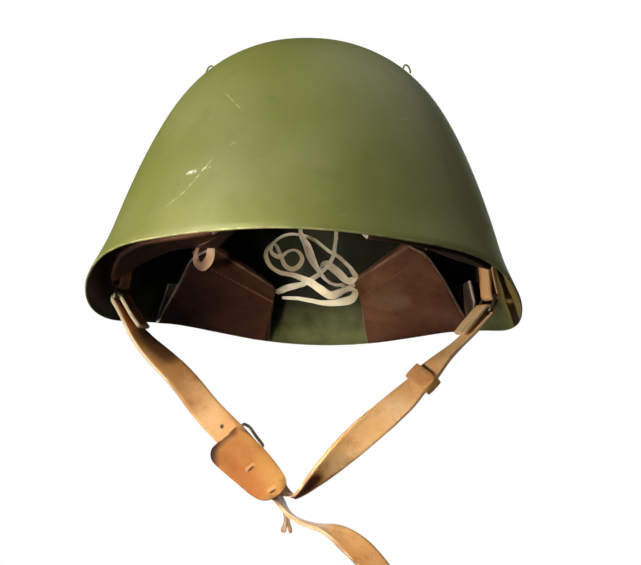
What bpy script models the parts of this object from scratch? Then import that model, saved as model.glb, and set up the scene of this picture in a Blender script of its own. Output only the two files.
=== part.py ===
# Steel combat helmet with a leather liner, a drawstring and a buckled chin strap.
# +Z is up, the front faces -Y and +X is the right side of the picture. The origin is the
# crown seat, where the wearer's head carries the liner. Sizes below are in millimetres.
import math
from collections import namedtuple

import bmesh
import bpy
import numpy as np
from mathutils import Matrix, Vector

MM = 0.001
GAP = 0.3                    # clearance between pieces that touch
BAR_GAP = 0.45               # clearance of a leather fold round its bar

# Shell
SHELL_WALL = 1.4
APEX_HEIGHT = 111.6          # top of the dome above the crown seat
PLAN_POWER = 2.15            # the plan is a superellipse, a little squarer than an ellipse
FRONT_REACH = 1.14           # front depth over half width
REAR_REACH = 1.16
FLARE_HEIGHT = 28.0          # the skirt turns outward over this height
FLARE_SIDE = 7.3
FLARE_FRONT = 5.0
FLARE_REAR = 8.0
SHELL_SEGMENTS = 56
SHELL_RINGS = 15

Dome = namedtuple("Dome", "depth half_width")
DOME_ROWS = [
    Dome(0, 0), Dome(4, 27.5), Dome(12, 46), Dome(24, 62.5), Dome(42, 77.5),
    Dome(66, 90.3), Dome(96, 102.4), Dome(130, 112.8), Dome(170, 118.3),
]
# How far below the apex the rim lies, by angle from the front
RIM_STEP = 15
RIM_DROP = [138.8, 139.8, 140.9, 141.0, 143.4, 150.4, 157.1, 157.3, 152.3, 148.8, 149.8, 152.5, 153.8]

# Wire loops on the dome
LOOP_WIRE = 1.3
LOOP_SPAN = 4.2
LOOP_RISE = 3.6
LOOP_LEAN = 0.62             # slope of the dome under the loops
LOOP_SPOTS = {"loop_left": (-58.5, -18.0), "loop_right": (55.5, -18.0)}

# Liner flaps
FLAP_LEATHER = 1.8
FLAP_RIM_CLEARANCE = 2.0
FLAP_MARGIN = 12.0           # strip that lies on the shell wall
FLAP_MARGIN_DROP = 10.0      # the strip ends this far above the lower fold
FOLD_RADIUS = 1.6
HEM_RADIUS = 3.5
HEM_GAP = 0.45
FLAP_COLUMNS = 7
FLAP_ROWS = 5

Flap = namedtuple(
    "Flap", "side near_angle far_angle strip_far stand_off hem_near hem_far stitch_near stitch_far sag corner")
# near is the end by the front or rear centre line, far is the end by the ear. The strip on
# the wall ends at strip_far, stand_off away from the wall. corner is where the far end of
# the lower fold hangs, when it stands off the shell.
FLAPS = {
    "flap_rear_right": Flap(
        1, 165, 123, 101, 13, (25.4, 80, -10.5), (58, 22, -1.5), (29.4, 89, -19), (70.2, 28, -3.3), 0.5, None),
    "flap_rear_left": Flap(
        -1, 166, 125, 125, 0, (23.7, 80, -16.4), (57, 22, -5), (25.4, 89.5, -24.2), (69.6, 28, -9), 0.5, None),
    "flap_front_left": Flap(
        -1, 18, 74, 74, 0, (26, -78, -9), (47, -24, -14.5), (29.3, -89.2, -14.6), (60, -30, -15.0), 4.5,
        (105, -30, -34)),
    "flap_front_right": Flap(
        1, 18, 60, 60, 0, (26, -78, -7), (50, -24, -9), (29.3, -89.2, -12.6), (63, -30, -9.5), -1.0, None),
}

# Drawstring
LACE_WIDTH = 2.6
LACE_STEP = 7.0

# Chin strap
STRAP_WIDTH = 16.8
STRAP_LEATHER = 2.3
RING_TURN = 190              # how far a strap bends round its ring
TAB_WIDTH = 16.0
TAB_LEATHER = 1.6
TAB_FOOT = 105.8             # how far out the tab's fold lies when it hangs as in TAB_ROWS
RING_WIRE = 2.2
RING_INSIDE = 18.0

# Buckle, in its own directions: along the strap, across it, and out to the front
BUCKLE_SPOT = (-38.7, 0.0, -117.0)
BUCKLE_ALONG = (0.692, 0.0, -0.722)
BUCKLE_WIRE = 2.0
BUCKLE_LENGTH = 17.0
PIN_WIRE = 1.8
PIN_SLOT = 2.6
FOLD_BACK = 7.0              # length of the short strap behind the buckle bar

# Keeper band
KEEPER_SPOT = (68.8, 0.0, -82.1)
KEEPER_LENGTH = 10.0
KEEPER_LEATHER = 1.8
KEEPER_ROOM = 0.6

# Guard leaf over the buckle
GUARD_LEATHER = 2.2
GUARD_LIFT = 5.4
GUARD_TILT = 3.0
GUARD_CURL = 3.0
NUB_WIDTH = 5.0
NUB_LEATHER = 1.3


def catmull(rows, t):
    # smooth curve through the rows; the first and last row only steer the ends
    last = len(rows) - 4
    i = min(max(int(math.floor(t)), 0), last)
    f = t - i
    a, b, c, d = (np.asarray(rows[i + k], float) for k in range(4))
    return 0.5 * (2 * b + (c - a) * f + (2 * a - 5 * b + 4 * c - d) * f ** 2 + (3 * b - a - 3 * c + d) * f ** 3)


def smoothed(rows, step, cyclic=False):
    # a smooth line through rows of any spacing, with added rows about a step apart; the
    # first three values of a row are its place, the rest follow along
    rows = [np.asarray(r, float) for r in rows]
    if cyclic:
        rows = rows + [rows[0]]
    count = len(rows)
    spans = [max(float(np.linalg.norm((rows[i + 1] - rows[i])[:3])), 0.01) for i in range(count - 1)]
    rates = [(rows[i + 1] - rows[i]) / spans[i] for i in range(count - 1)]
    slopes = []
    for i in range(count):
        before = i - 1 if i > 0 or cyclic else None
        after = i if i < count - 1 else (0 if cyclic else None)
        if before is None:
            slopes.append(rates[after])
        elif after is None:
            slopes.append(rates[before])
        else:
            share = spans[before] / (spans[before] + spans[after])
            slopes.append(rates[before] * (1 - share) + rates[after] * share)
    dense = []
    for i in range(count - 1):
        pieces = max(1, round(spans[i] / step))
        for k in range(pieces):
            f = k / pieces
            low = 2 * f ** 3 - 3 * f ** 2 + 1
            start = (f ** 3 - 2 * f ** 2 + f) * spans[i]
            end = (f ** 3 - f ** 2) * spans[i]
            dense.append(low * rows[i] + (1 - low) * rows[i + 1] + start * slopes[i] + end * slopes[i + 1])
    if not cyclic:
        dense.append(rows[-1])
    return dense


# The dome's profile is even about its axis and the rim's drop is even about front and rear
DOME_CURVE = [(DOME_ROWS[1].depth, -DOME_ROWS[1].half_width)] + list(DOME_ROWS) + [(214, 120)]
RIM_CURVE = [(RIM_DROP[1],)] + [(d,) for d in RIM_DROP] + [(RIM_DROP[-2],)]


def rim_drop(angle):
    turned = abs((angle + 180) % 360 - 180)
    return float(catmull(RIM_CURVE, turned / RIM_STEP)[0])


def dome_step(depth):
    low, high = 0.0, len(DOME_ROWS) - 1.0
    for _ in range(40):
        middle = 0.5 * (low + high)
        if catmull(DOME_CURVE, middle)[0] < depth:
            low = middle
        else:
            high = middle
    return low


def oval(angle, half_width, front, rear):
    s = math.sin(math.radians(angle))
    c = math.cos(math.radians(angle))
    reach = front if c > 0 else rear
    x = half_width * math.copysign(abs(s) ** (2 / PLAN_POWER), s)
    y = -reach * math.copysign(abs(c) ** (2 / PLAN_POWER), c)
    return x, y


def shell_point(angle, depth):
    half = float(catmull(DOME_CURVE, dome_step(depth))[1])
    x, y = oval(angle, half, half * FRONT_REACH, half * REAR_REACH)
    s = math.sin(math.radians(angle))
    c = math.cos(math.radians(angle))
    flare = FLARE_SIDE * s * s + (FLARE_FRONT if c > 0 else FLARE_REAR) * c * c
    rise = rim_drop(angle) - depth
    flare *= min(max(1 - rise / FLARE_HEIGHT, 0), 1) ** 2
    out = math.hypot(x, y) or 1.0
    return Vector((x + flare * x / out, y + flare * y / out, APEX_HEIGHT - depth))


def wall_point(angle, height, inset):
    # point inside the shell, inset from its outer face
    depth = APEX_HEIGHT - height
    here = shell_point(angle, depth)
    around = shell_point(angle + 1, depth) - shell_point(angle - 1, depth)
    down = shell_point(angle, depth + 1) - shell_point(angle, depth - 1)
    outward = down.cross(around).normalized()
    if outward.x * here.x + outward.y * here.y < 0:
        outward.negate()
    return here - outward * inset


def make_material(name, colour, roughness, metallic):
    mat = bpy.data.materials.new(name)
    mat.use_nodes = True
    surface = mat.node_tree.nodes["Principled BSDF"]
    surface.inputs["Base Color"].default_value = (*colour, 1)
    surface.inputs["Roughness"].default_value = roughness
    surface.inputs["Metallic"].default_value = metallic
    return mat


def add_object(name, mesh, mat, group):
    obj = bpy.data.objects.new(name, mesh)
    mesh.materials.append(mat)
    group.objects.link(obj)
    return obj


def mesh_from(bm, name):
    mesh = bpy.data.meshes.new(name)
    bm.to_mesh(mesh)
    bm.free()
    return mesh


def solidify(obj, thickness, offset):
    mod = obj.modifiers.new("Wall", "SOLIDIFY")
    mod.thickness = thickness * MM
    mod.offset = offset
    mod.use_even_offset = True
    return mod


def sheet(name, columns, rows, place, thickness, mat, group, offset=0.0):
    # a grid whose points are placed by place(column, row), then given its thickness
    bm = bmesh.new()
    bmesh.ops.create_grid(bm, x_segments=columns, y_segments=rows, size=1)
    for v in bm.verts:
        column = round((v.co.x + 1) / 2 * columns)
        row = round((v.co.y + 1) / 2 * rows)
        v.co = Vector(place(column, row)) * MM
    obj = add_object(name, mesh_from(bm, name), mat, group)
    solidify(obj, thickness, offset)
    obj.data.shade_smooth()
    return obj


def wire(name, points, diameter, mat, group, cyclic=False, resolution=2):
    curve = bpy.data.curves.new(name, "CURVE")
    curve.dimensions = "3D"
    curve.bevel_depth = diameter / 2 * MM
    curve.bevel_resolution = resolution
    curve.use_fill_caps = True
    spline = curve.splines.new("POLY")
    spline.points.add(len(points) - 1)
    for spot, p in zip(spline.points, points):
        spot.co = (*(Vector(p) * MM), 1)
    spline.use_cyclic_u = cyclic
    curve.materials.append(mat)
    obj = bpy.data.objects.new(name, curve)
    group.objects.link(obj)
    return obj


def make_shell(mat, group):
    bm = bmesh.new()
    bmesh.ops.create_uvsphere(bm, u_segments=SHELL_SEGMENTS, v_segments=2 * SHELL_RINGS, radius=1)
    lower = [v for v in bm.verts if v.co.z < -1e-4]
    bmesh.ops.delete(bm, geom=lower, context="VERTS")
    for v in bm.verts:
        angle = math.degrees(math.atan2(v.co.x, -v.co.y))
        share = math.acos(min(max(v.co.z, -1), 1)) / (math.pi / 2)
        step = share * dome_step(rim_drop(angle))
        v.co = shell_point(angle, float(catmull(DOME_CURVE, step)[0])) * MM
    obj = add_object("shell", mesh_from(bm, "shell"), mat, group)
    solidify(obj, SHELL_WALL, -1)
    obj.data.shade_smooth()


def make_loops(mat, group):
    for name, (x, y) in LOOP_SPOTS.items():
        # find the dome's height at this spot by walking down its profile
        depth = 1.0
        angle = math.degrees(math.atan2(x, -y))
        while math.hypot(*shell_point(angle, depth).xy) < math.hypot(x, y):
            depth += 0.1
        foot = APEX_HEIGHT - depth + GAP + LOOP_WIRE / 2
        points = []
        for i in range(9):
            turn = math.pi * i / 8
            out = -math.cos(turn) * LOOP_SPAN / 2
            drop = -out * LOOP_LEAN * math.copysign(1, x)
            points.append((x + out, y, foot + drop + LOOP_RISE * math.sin(turn)))
        wire(name, points, LOOP_WIRE, mat, group, resolution=1)


def flap_fold(flap, share):
    # centre of the lower fold, which leaves the wall towards the far corner if there is one
    angle = flap.side * (flap.near_angle + (flap.far_angle - flap.near_angle) * share)
    floor = APEX_HEIGHT - rim_drop(angle) + FLAP_RIM_CLEARANCE
    inset = SHELL_WALL + 2 * GAP + FLAP_LEATHER / 2
    fold = wall_point(angle, floor + FOLD_RADIUS, inset + FOLD_RADIUS)
    if flap.corner:
        end = flap.side * flap.far_angle
        end_floor = APEX_HEIGHT - rim_drop(end) + FLAP_RIM_CLEARANCE
        at_wall = wall_point(end, end_floor + FOLD_RADIUS, inset + FOLD_RADIUS)
        corner = Vector((flap.side * flap.corner[0], flap.corner[1], flap.corner[2]))
        fold = fold + (corner - at_wall) * share ** 2
    heights = (FLAP_MARGIN_DROP + FLAP_MARGIN, FLAP_MARGIN_DROP + FLAP_MARGIN / 2, FLAP_MARGIN_DROP)
    strip_angle = flap.side * (flap.near_angle + (flap.strip_far - flap.near_angle) * share)
    inset += flap.stand_off * share ** 3
    strip = [wall_point(strip_angle, floor + h, inset) for h in heights]
    return fold, strip


def hem_frame(flap, share):
    # the hem's top edge, its stitch line, and the directions along the leather and behind it
    mirror = Matrix.Diagonal((flap.side, 1, 1))
    hem = mirror @ Vector(flap.hem_near).lerp(Vector(flap.hem_far), share)
    stitch = mirror @ Vector(flap.stitch_near).lerp(Vector(flap.stitch_far), share)
    along = (hem - stitch).normalized()
    edge = mirror @ (Vector(flap.hem_far) - Vector(flap.hem_near))
    behind = along.cross(edge).normalized()
    if behind.z < 0:
        behind.negate()
    return hem, stitch, along, behind


def flap_section(flap, share):
    # one line across the flap, from its strip on the shell wall, round the lower fold,
    # up the inner face, over the hem and back down behind it
    fold, strip = flap_fold(flap, share)
    hem, stitch, along, behind = hem_frame(flap, share)
    inward = stitch - fold
    inward.z = 0
    inward.normalize()
    up = Vector((0, 0, 1))
    to_strip = strip[-1] - fold
    start = math.atan2(to_strip.z, to_strip.dot(inward)) + math.pi / 2
    rise = math.atan2(stitch.z - fold.z, (stitch - fold).dot(inward))
    points = list(strip)
    for i in range(5):
        turn = start + (rise + 1.5 * math.pi - start) * i / 4
        points.append(fold + (inward * math.cos(turn) + up * math.sin(turn)) * FOLD_RADIUS)
    foot = points[-1]
    for i in range(1, FLAP_ROWS + 1):
        part = i / FLAP_ROWS
        arch = flap.sag * (0.35 + 0.65 * share) * math.sin(math.pi * part)
        points.append(foot.lerp(stitch, part) + up * arch)
    centre = hem + (behind - along) * HEM_RADIUS
    for i in range(5):
        turn = math.pi * i / 4
        points.append(centre + (along * math.sin(turn) - behind * math.cos(turn)) * HEM_RADIUS)
    points.append(stitch.lerp(hem, 0.36) + behind * (HEM_RADIUS + FLAP_LEATHER * 0.75))
    points.append(stitch + behind * (FLAP_LEATHER + HEM_GAP))
    return points


def make_flaps(mat, group):
    for name, flap in FLAPS.items():
        lines = [flap_section(flap, i / FLAP_COLUMNS) for i in range(FLAP_COLUMNS + 1)]
        sheet(name, FLAP_COLUMNS, len(lines[0]) - 1, lambda c, r: lines[c][r], FLAP_LEATHER, mat, group)


def strap(name, rows, width, thickness, mat, group, step=7.0):
    # a leather strap through rows that give its centre and the direction of its width
    sections = smoothed(rows, step)
    centres = [Vector(s[:3]) for s in sections]
    edges = [Vector(s[3:]).normalized() * width / 2 for s in sections]

    def place(column, row):
        return centres[row] + edges[row] * (column - 1)

    return sheet(name, 2, len(sections) - 1, place, thickness, mat, group)


def turn_about(centre, axis, start, angle, pieces):
    # rows of a fold round a bar: the first is at start, the last after angle degrees
    axis = Vector(axis).normalized()
    arm = Vector(start) - Vector(centre)
    rows = []
    for i in range(pieces + 1):
        swing = Matrix.Rotation(math.radians(angle) * i / pieces, 3, axis)
        rows.append((*(Vector(centre) + swing @ arm), *axis))
    return rows


Carrier = namedtuple("Carrier", "upper lower axis")
# bars of the strap rings: the tab hangs on the upper one, the strap on the lower one
RINGS = {
    "ring_right": Carrier((105.8, 0, -33.2), (102.4, 0, -42.4), (0.30, -0.94, -0.15)),
    "ring_left": Carrier((-106.6, 0, -31.4), (-105.8, 0, -40.8), (-0.16, -0.98, -0.10)),
}


def make_rings(mat, group):
    for name, ring in RINGS.items():
        axis = Vector(ring.axis).normalized()
        upper, lower = Vector(ring.upper), Vector(ring.lower)
        half = RING_INSIDE / 2 + RING_WIRE / 2
        down = (lower - upper).normalized()
        points = []
        for bar, sign in ((upper, 1), (lower, -1)):
            corner = 1.4
            for across in (1, -1):
                side = axis * across * sign * -1
                inner = bar + side * (half - corner)
                tip = bar + side * half + down * corner * sign
                middle = bar + side * (half - corner * 0.3) + down * corner * 0.3 * sign
                points += [inner, middle, tip] if across == -1 else [tip, middle, inner]
        wire(name, points, RING_WIRE, mat, group, cyclic=True)


TabRow = namedtuple("TabRow", "height inner pitch turned")
# the tab's inner layer, the distance to its outer layer, and how far it follows the ring
TAB_ROWS = [
    TabRow(13.5, 97.7, 1.9, 0.0), TabRow(4.0, 98.9, 1.9, 0.2), TabRow(-10.0, 101.0, 1.9, 0.9),
    TabRow(-22.0, 102.9, 2.2, 1.0),
]


def make_hanger(name, ring, side, mat, group):
    # the tab comes down its inner layer, folds round the ring and returns outside it
    axis = Vector(ring.axis).normalized()
    reach = RING_WIRE / 2 + BAR_GAP + TAB_LEATHER / 2
    upper = Vector(ring.upper)
    shift = abs(ring.upper[0]) - TAB_FOOT
    inward = Vector((-side, 0, 0))
    start = upper + (inward - axis * inward.dot(axis)).normalized() * reach
    rows = []
    for layer in (0, 1):
        for row in TAB_ROWS[::1 - 2 * layer]:
            wide = Vector((0, -1, 0)).lerp(axis, row.turned)
            drift = shift * row.turned * (13.5 - row.height) / 45
            rows.append((side * (row.inner + row.pitch * layer + drift), 0, row.height, *wide))
        if layer == 0:
            rows += turn_about(upper, axis, start, side * 180, 8)
    strap(name, rows, TAB_WIDTH, TAB_LEATHER, mat, group, step=9)


def make_hangers(mat, group):
    make_hanger("hanger_right", RINGS["ring_right"], 1, mat, group)
    make_hanger("hanger_left", RINGS["ring_left"], -1, mat, group)


def buckle_frame():
    along = Vector(BUCKLE_ALONG).normalized()
    front = Vector((0, -1, 0))
    across = front.cross(along)
    return Vector(BUCKLE_SPOT), along, across, front


def buckle_place(along_mm, across_mm, front_mm):
    spot, along, across, front = buckle_frame()
    return spot + along * along_mm + across * across_mm + front * front_mm


Neck = namedtuple("Neck", "along across lift twist")
# the two straps run together from the buckle down under the guard, turning edge on
NECK_ROWS = [
    Neck(23, 0.0, 0.5, 0), Neck(28, -0.2, -0.2, 12), Neck(33, -0.5, -1.6, 34), Neck(38, -1.0, -2.8, 58),
    Neck(42.5, -1.8, -3.6, 74), Neck(46.5, -2.6, -4.0, 82),
]


def neck_layer(row, offset, facing):
    spot, along, across, front = buckle_frame()
    twist = math.radians(row.twist)
    outward = front * math.cos(twist) + across * math.sin(twist)
    wide = across * math.cos(twist) - front * math.sin(twist)
    centre = buckle_place(row.along, row.across, row.lift) + outward * offset
    return (*centre, *(wide * facing))


def make_strap_short(mat, group):
    ring = RINGS["ring_right"]
    axis = Vector(ring.axis).normalized()
    reach = RING_WIRE / 2 + BAR_GAP + STRAP_LEATHER / 2
    lower = Vector(ring.lower)
    leg = Vector((-0.62, 0, -0.78))
    start = lower + leg.cross(axis).normalized() * reach
    edge = tuple(axis)
    rows = [(89.0, -1, -55.8, *edge), (92.7, -1, -50.8, *edge), (96.9, -1, -45.2, *edge)]
    rows += turn_about(lower, axis, start, -RING_TURN, 8)
    rows += [
        (98.6, 0, -50.4, *edge),
        (94.2, 0, -55.8, *edge),
        (88.4, 0, -61.4, *edge),
        (81.4, 0, -68.0, 0.30, -0.92, -0.28),
        (75.4, 0, -74.6, 0.46, -0.76, -0.40),
        (72.4, 0, -78.0, 0.52, -0.68, -0.45),
        (65.2, 0, -86.2, 0.52, -0.68, -0.45),
        (61.0, 0, -90.8, 0.60, -0.54, -0.54),
        (50.7, 0, -100.8, 0.68, -0.30, -0.62),
        (39.7, 0, -110.7, 0.68, 0.10, -0.70),
        (28.8, 0, -121.0, 0.58, 0.42, -0.64),
        (18.4, 1, -131.2, 0.42, 0.72, -0.50),
        (9.6, 2, -140.0, 0.25, 0.92, -0.28),
        (2.6, 3, -147.0, 0.10, 1.0, -0.10),
        (-1.6, 3, -150.2, 0.0, 1.0, 0.0),
    ]
    half_stack = STRAP_LEATHER / 2 + 0.2
    spacing = [half_stack, half_stack, 1.5, 1.9, 2.4]
    rows += [neck_layer(row, ahead, 1) for row, ahead in reversed(list(zip(NECK_ROWS, spacing)))]
    turn_reach = BUCKLE_WIRE / 2 + BAR_GAP + STRAP_LEATHER / 2
    spot, along, across, front = buckle_frame()
    bar = buckle_place(BUCKLE_LENGTH, 0, 0)
    rows += turn_about(bar, across, bar + front * turn_reach, -180, 8)
    rows.append((*buckle_place(BUCKLE_LENGTH + FOLD_BACK * 0.5, 0, -turn_reach), *across))
    rows.append((*buckle_place(BUCKLE_LENGTH + FOLD_BACK, -0.2, -turn_reach - 0.2), *across))
    return strap("strap_short", rows, STRAP_WIDTH, STRAP_LEATHER, mat, group)


def make_strap_long(mat, group):
    ring = RINGS["ring_left"]
    axis = Vector(ring.axis).normalized()
    reach = RING_WIRE / 2 + BAR_GAP + STRAP_LEATHER / 2
    lower = Vector(ring.lower)
    leg = Vector((0.62, 0, -0.78))
    start = lower - leg.cross(axis).normalized() * reach
    edge = tuple(axis)
    rows = [(-91.4, -1, -57.0, *edge), (-95.6, -1, -51.4, *edge), (-100.0, -1, -45.4, *edge)]
    rows += turn_about(lower, axis, start, RING_TURN, 8)
    spot, along, across, front = buckle_frame()
    rows += [
        (-102.2, 0, -51.0, *edge),
        (-96.8, 0, -58.4, -0.32, -0.90, -0.25),
        (-91.0, 0, -65.0, -0.46, -0.80, -0.34),
        (-84.5, 0, -71.0, -0.58, -0.68, -0.44),
        (-73.6, 0, -80.4, -0.64, -0.56, -0.52),
        (-63.8, 0, -90.9, -0.66, -0.42, -0.58),
        (-54.4, -0.6, -102.0, -0.70, -0.20, -0.66),
        (*buckle_place(-9, -0.6, 2.2), *(-across)),
        (*buckle_place(-1.0, 0, BUCKLE_WIRE / 2 + BAR_GAP + STRAP_LEATHER / 2), *(-across)),
        (*buckle_place(2.2, 0, 1.9), *(-across)),
        (*buckle_place(9.0, 0, -2.2), *(-across)),
        (*buckle_place(15.0, 0, -5.4), *(-across)),
        (*buckle_place(20.0, 0, -5.7), *(-across)),
    ]
    # distance behind the neck's middle line: the short strap's turned end lies between at first
    spacing = [6.4, 5.6, 3.0, 1.9, 1.5, 1.35]
    rows += [neck_layer(row, -behind, -1) for row, behind in zip(NECK_ROWS, spacing)]
    rows += [
        (-6.4, 3, -158.2, -0.08, -1.0, -0.03),
        (-2.0, 2, -162.2, -0.06, -1.0, -0.06),
        (4.0, 0, -165.0, -0.03, -1.0, -0.09),
        (10.4, -1, -166.6, 0.0, -1.0, -0.13),
        (16.0, -2, -167.7, 0.0, -1.0, -0.20),
        (21.8, -3, -169.4, -0.12, -0.85, -0.50),
        (27.6, -3, -172.4, -0.35, -0.70, -0.60),
        (33.6, -3, -176.6, -0.55, -0.60, -0.55),
        (39.6, -3, -182.0, -0.62, -0.56, -0.50),
        (45.0, -3, -188.0, -0.66, -0.55, -0.46),
        (49.4, -3, -194.0, -0.68, -0.55, -0.42),
        (52.6, -3, -199.4, -0.70, -0.55, -0.38),
    ]
    return strap("strap_long", rows, STRAP_WIDTH, STRAP_LEATHER, mat, group)


Side = namedtuple("Side", "along half_width")
FRAME_SIDE = [
    Side(0, 8.9), Side(0.4, 9.6), Side(1.4, 10.1), Side(3.2, 10.9), Side(5.6, 10.8), Side(8.6, 10.3),
    Side(12.0, 10.0), Side(15.6, 9.9), Side(16.6, 9.6), Side(17.0, 8.9),
]


def make_buckle(mat, group):
    outline = [(row.along, row.half_width) for row in FRAME_SIDE]
    outline += [(row.along, -row.half_width) for row in reversed(FRAME_SIDE)]
    wire("buckle_frame", [buckle_place(a, c, 0) for a, c in outline], BUCKLE_WIRE, mat, group, cyclic=True)
    reach = BUCKLE_WIRE / 2 + BAR_GAP + PIN_WIRE / 2
    points = []
    for i in range(7):
        turn = math.radians(60 - 240 * i / 6)
        points.append(buckle_place(BUCKLE_LENGTH + reach * math.cos(turn), 0, reach * math.sin(turn)))
    points += [buckle_place(10, 0, -2.6), buckle_place(3, 0, -2.9), buckle_place(-1.6, 0, -2.3)]
    wire("buckle_pin", points, PIN_WIRE, mat, group)


def add_slot(obj, name, place, size, cutters):
    # a box that cuts the strap where the buckle's pin goes through
    bm = bmesh.new()
    bmesh.ops.create_cube(bm, size=1)
    bmesh.ops.scale(bm, vec=Vector(size) * MM, verts=bm.verts)
    cutter = bpy.data.objects.new(name, mesh_from(bm, name))
    spot, along, across, front = buckle_frame()
    turned = Matrix((along, across, front)).transposed()
    cutter.matrix_world = Matrix.Translation(buckle_place(*place) * MM) @ turned.to_4x4()
    cutter.hide_render = True
    cutter.display_type = "WIRE"
    cutters.objects.link(cutter)
    cut = obj.modifiers.new(name, "BOOLEAN")
    cut.operation = "DIFFERENCE"
    cut.solver = "EXACT"
    cut.object = cutter


def make_keeper(mat, group):
    along = Vector((-0.66, 0, -0.75)).normalized()
    wide = Vector((0.52, -0.68, -0.45))
    wide = (wide - along * wide.dot(along)).normalized()
    normal = along.cross(wide)
    curve = bpy.data.curves.new("strap_keeper", "CURVE")
    curve.dimensions = "2D"
    curve.fill_mode = "BOTH"
    curve.extrude = KEEPER_LENGTH / 2 * MM
    inner = (STRAP_WIDTH / 2 + KEEPER_ROOM, STRAP_LEATHER / 2 + KEEPER_ROOM)
    outer = (inner[0] + KEEPER_LEATHER, inner[1] + KEEPER_LEATHER)
    for half_width, half_height in (inner, outer):
        spline = curve.splines.new("POLY")
        corner = min(half_height, 1.2) * 0.6
        outline = []
        for sx, sy in ((1, 1), (-1, 1), (-1, -1), (1, -1)):
            a = (sx * half_width, sy * (half_height - corner))
            b = (sx * (half_width - corner), sy * half_height)
            outline += [a, b] if sx * sy > 0 else [b, a]
        spline.points.add(len(outline) - 1)
        for spot, (x, y) in zip(spline.points, outline):
            spot.co = (x * MM, y * MM, 0, 1)
        spline.use_cyclic_u = True
    curve.materials.append(mat)
    obj = bpy.data.objects.new("strap_keeper", curve)
    turned = Matrix((wide, normal, wide.cross(normal))).transposed()
    obj.matrix_world = Matrix.Translation(Vector(KEEPER_SPOT) * MM) @ turned.to_4x4()
    group.objects.link(obj)


Leaf = namedtuple("Leaf", "along left right")
GUARD_ROWS = [
    Leaf(-0.8, -12.6, 5.4), Leaf(1.6, -15.8, 6.2), Leaf(5, -17.3, 7.2), Leaf(12, -16.8, 8.5),
    Leaf(18, -16.1, 8.8), Leaf(23.5, -15.4, 8.8),
    Leaf(29, -14.6, 8.6), Leaf(34, -13.7, 8.3), Leaf(38, -12.4, 7.6), Leaf(41, -10.4, 6.4), Leaf(43, -7.6, 4.2),
    Leaf(44, -4.4, 0.6),
]
GUARD_COLUMNS = 8


def guard_point(column, row):
    # the leaf stands off the buckle, tilts forward towards its tip and curls back at one side
    leaf = GUARD_ROWS[row]
    across = leaf.left + (leaf.right - leaf.left) * column / GUARD_COLUMNS
    lift = GUARD_LIFT + GUARD_TILT * max(leaf.along - 20, 0) / 24
    curl = GUARD_CURL * max(1 - max(leaf.along, 0) / 18, 0)
    lift -= curl * max((-10.5 - across) / 7, 0) ** 2
    return buckle_place(leaf.along, across, lift)


def make_guard(mat, group):
    sheet("buckle_guard", GUARD_COLUMNS, len(GUARD_ROWS) - 1, guard_point, GUARD_LEATHER, mat, group)


def make_nub(mat, group):
    # end of the thong that ties the guard, hanging behind the neck of the straps
    rows = [
        (-11.2, 14.6, -151.0, 0.2, 1, 0), (-8.4, 14.8, -156.0, 0.3, 1, 0), (-6.4, 14.6, -160.5, 0.8, 0.6, 0),
        (-6.2, 14.0, -165.0, 1, 0.2, 0), (-6.2, 13.6, -169.2, 1, 0, 0),
    ]
    strap("guard_thong", rows, NUB_WIDTH, NUB_LEATHER, mat, group)


# Route of the drawstring between the hems. It runs through each hem in turn, crosses from
# front right to rear left and from front left to rear right, and hangs slack by the left ear.
LACE_BY_RIGHT_EAR = [(61.5, 5, -0.5), (57.5, -9, -4)]
LACE_FRONT_RIGHT_TO_REAR_LEFT = [
    (22.5, -90.5, -4.5), (17.5, -87.5, -2), (15, -80, 0), (15, -62, 2), (17, -42, 1), (18, -20, -3),
    (16.5, 2, -5.5), (15, 18, -8), (10.5, 36, -11), (5, 48, -13.5), (-1, 58, -15.5), (-6, 66, -16.5), (-13, 72, -17),
    (-18, 80, -17.5),
]
LACE_BY_LEFT_EAR = [
    (-65.5, 14.5, -7.5), (-64.5, 8, -15.5), (-59.5, -1, -20.5), (-54.2, -11, -18),
]
LACE_FRONT_LEFT_TO_REAR_RIGHT = [
    (-22, -90.5, -6), (-17, -87.5, -3), (-13, -79, -0.5), (-9, -60, 2), (-5, -36, 2), (-3, -14, 0.5),
    (-2.5, -2, -1.5), (0, 12, -4.5), (2, 24, -9), (4.5, 34, -12.5), (8.5, 45, -16), (13.5, 60, -17), (18, 70, -15.5),
    (20.5, 79, -15),
]
# Route of the bow and its slack ends under the crown
LACE_BOW = [
    (-19, 74, -24), (-8.5, 70, -25), (-1, 68, -26.5), (6.5, 66, -28), (13.5, 66, -28.5), (20, 68, -27), (25.5, 70, -24.5),
    (27, 68.5, -20.5), (23.5, 64, -19), (18, 58, -23), (12.5, 54, -25.5), (6, 50, -22.5), (0.5, 46, -19.5),
    (-9, 40, -16.5), (-18.5, 35, -15.5), (-24.5, 33, -11), (-26, 31, -4), (-21.5, 30, 0.5), (-17.5, 31, -5),
    (-15, 34, -11), (-10.5, 31, -14.5), (-5.5, 27, -13), (-3.5, 24, -9), (-6.5, 22, -5), (-11.5, 23, -5),
    (-17, 24, -8.5), (-22, 21, -6.5), (-21, 16, -2.5), (-16.5, 12, 0.5), (-11.5, 11, 2.5), (-5, 12, 2.5), (3, 20, 1.5),
    (11, 30, -2.5), (15.5, 38, -3.5), (20, 52, -4.5), (24, 65, -6.5), (26.5, 72, -10), (23.5, 68.5, -13.5),
    (15.5, 58, -9.5), (8.5, 48, -6.5), (6, 41.4, -9.9),
]


def hem_channel(name, shares):
    spots = []
    for share in shares:
        hem, stitch, along, behind = hem_frame(FLAPS[name], share)
        spots.append(hem + (behind - along) * HEM_RADIUS)
    return spots


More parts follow.
